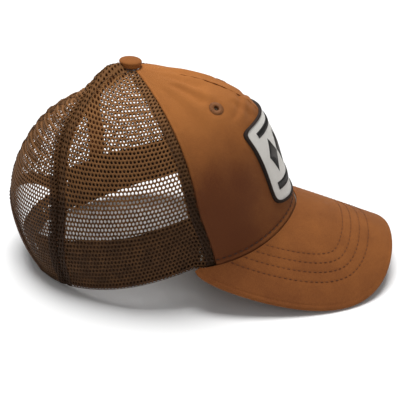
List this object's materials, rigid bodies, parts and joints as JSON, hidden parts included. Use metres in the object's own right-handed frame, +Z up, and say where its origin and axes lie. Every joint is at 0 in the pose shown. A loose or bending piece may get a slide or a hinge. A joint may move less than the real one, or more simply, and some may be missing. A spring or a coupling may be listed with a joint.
{
  "type": "baseball cap",
  "caption": "Six-panel trucker cap with cloth front, mesh sides and back, arched visor, covered button, front patch and a two-strap peg closure.",
  "frame": {"origin": "under the middle of the whole cap's box, on the flat surface that it stands on", "axes": "+Z up; -Y is the way the visor points; +X is the wearer's left; the cap is symmetric about X = 0 apart from its strap closure"},
  "size_m": [0.1634, 0.2884, 0.1515],
  "materials": {
    "duck_cloth": "rust-brown cotton duck, fine twill weave, lightly washed",
    "mesh_cloth": "dark brown polyester mesh with staggered round holes",
    "buckram": "stiff open-weave natural cotton backing",
    "seam_tape": "dark brown woven tape",
    "sweatband_cloth": "dark brown brushed cotton twill",
    "foam": "thin off-white padding foam",
    "board": "flexible off-white visor board",
    "button_metal": "plain pressed steel",
    "eyelet_thread": "brown embroidery thread, radial stitches",
    "patch_twill": "off-white patch twill",
    "patch_edge_thread": "dark brown overlocked edge thread",
    "patch_motif_thread": "black-brown satin stitch thread",
    "strap_plastic": "dark brown moulded polyethylene, satin"
  },
  "bodies": {
    "crown": {"front_panel_left": "duck_cloth", "front_panel_right": "duck_cloth", "side_panel_left": "mesh_cloth", "side_panel_right": "mesh_cloth", "back_panel_left": "mesh_cloth", "back_panel_right": "mesh_cloth", "stiffener_left": "buckram", "stiffener_right": "buckram", "front_center_tape": "seam_tape", "front_tape_left": "seam_tape", "front_tape_right": "seam_tape", "rear_tape_left": "seam_tape", "rear_tape_right": "seam_tape", "back_center_tape": "seam_tape", "opening_binding": "seam_tape", "sweatband": "sweatband_cloth", "forehead_foam": "foam", "visor_top_cover": "duck_cloth", "visor_board": "board", "visor_bottom_cover": "duck_cloth", "button_cover": "duck_cloth", "button_shell": "button_metal", "button_washer": "button_metal", "eyelet_left": "eyelet_thread", "eyelet_right": "eyelet_thread", "patch_ground": "patch_twill", "patch_border": "patch_edge_thread", "patch_motif": "patch_motif_thread", "hole_strap_tab": "strap_plastic", "peg_strap_tab": "strap_plastic"},
    "hole_strap": {"hole_strap": "strap_plastic"},
    "peg_strap": {"peg_strap": "strap_plastic"}
  },
  "joints": [
    {"name": "hole_strap_flex", "type": "hinge", "parent": "crown", "child": "hole_strap", "pos_m": [0.03246, 0.12755, 0.0115], "axis": [0, 0, -1], "range_deg": [0, 60], "stiffness_Nm_per_rad": 0.02},
    {"name": "peg_strap_flex", "type": "hinge", "parent": "crown", "child": "peg_strap", "pos_m": [-0.02887, 0.12133, 0.0115], "axis": [0, 0, -1], "range_deg": [0, 35], "stiffness_Nm_per_rad": 0.02}
  ]
}
